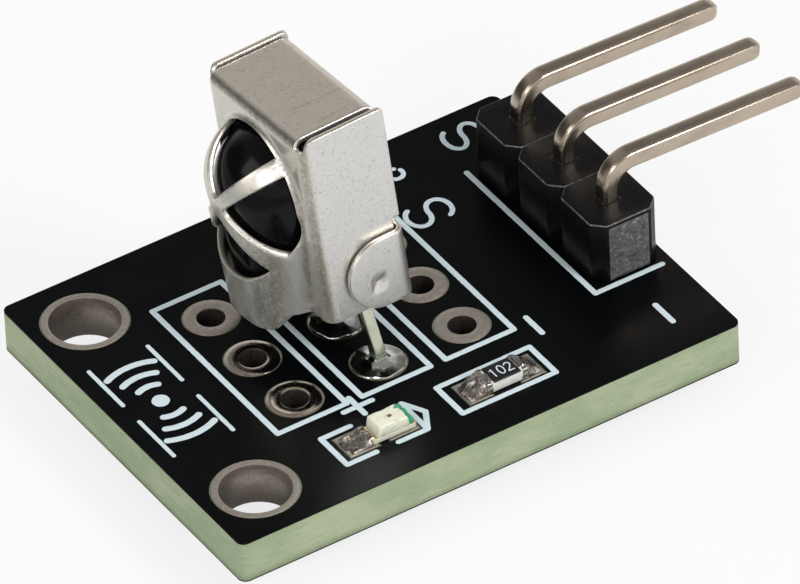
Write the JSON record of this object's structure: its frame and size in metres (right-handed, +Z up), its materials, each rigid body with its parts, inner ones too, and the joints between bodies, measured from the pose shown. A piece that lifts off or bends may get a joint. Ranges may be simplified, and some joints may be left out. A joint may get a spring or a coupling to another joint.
{
  "type": "infrared receiver module",
  "caption": "Infrared receiver on a small black circuit board, with a domed metal shield, a bent pin header, a chip resistor, a chip lamp and mounting holes.",
  "frame": {"origin": "midway between the two mounting holes, on the board's underside", "axes": "+X along the board from the mounting holes to the pin header, +Z up out of the side that carries the parts"},
  "size_m": [0.0254, 0.0148, 0.0121],
  "materials": {
    "board_laminate": "matte glass-fibre laminate",
    "black_mask": "satin solder mask",
    "white_print": "matte ink",
    "tinned_copper": "fine-grained tin",
    "header_plastic": "satin moulding",
    "pin_metal": "satin plated",
    "solder_metal": "shiny solder",
    "shield_nickel": "satin nickel",
    "receiver_epoxy": "glossy resin",
    "lead_metal": "satin plated",
    "chip_ceramic": "matte ceramic",
    "chip_coat": "satin glaze",
    "end_cap_metal": "tinned",
    "lamp_board": "matte",
    "lamp_resin": "milky resin",
    "lamp_terminal_metal": "satin plated"
  },
  "bodies": {
    "root": {"pcb_laminate": "board_laminate", "solder_mask_top": "black_mask", "solder_mask_bottom": "black_mask", "silkscreen_top": "white_print", "mounting_hole_plating": "tinned_copper", "lead_hole_plating": "tinned_copper", "header_hole_plating": "tinned_copper", "resistor_pads": "tinned_copper", "lamp_pads": "tinned_copper", "header_housing": "header_plastic", "header_pin_1": "pin_metal", "header_pin_2": "pin_metal", "header_pin_3": "pin_metal", "header_solder": "solder_metal", "receiver_shield": "shield_nickel", "receiver_body": "receiver_epoxy", "receiver_lead_1": "lead_metal", "receiver_lead_2": "lead_metal", "receiver_lead_3": "lead_metal", "receiver_solder": "solder_metal", "resistor_ceramic": "chip_ceramic", "resistor_coat": "chip_coat", "resistor_end_caps": "end_cap_metal", "resistor_solder": "solder_metal", "lamp_base": "lamp_board", "lamp_lens": "lamp_resin", "lamp_terminals": "lamp_terminal_metal", "lamp_solder": "solder_metal"}
  },
  "joints": []
}
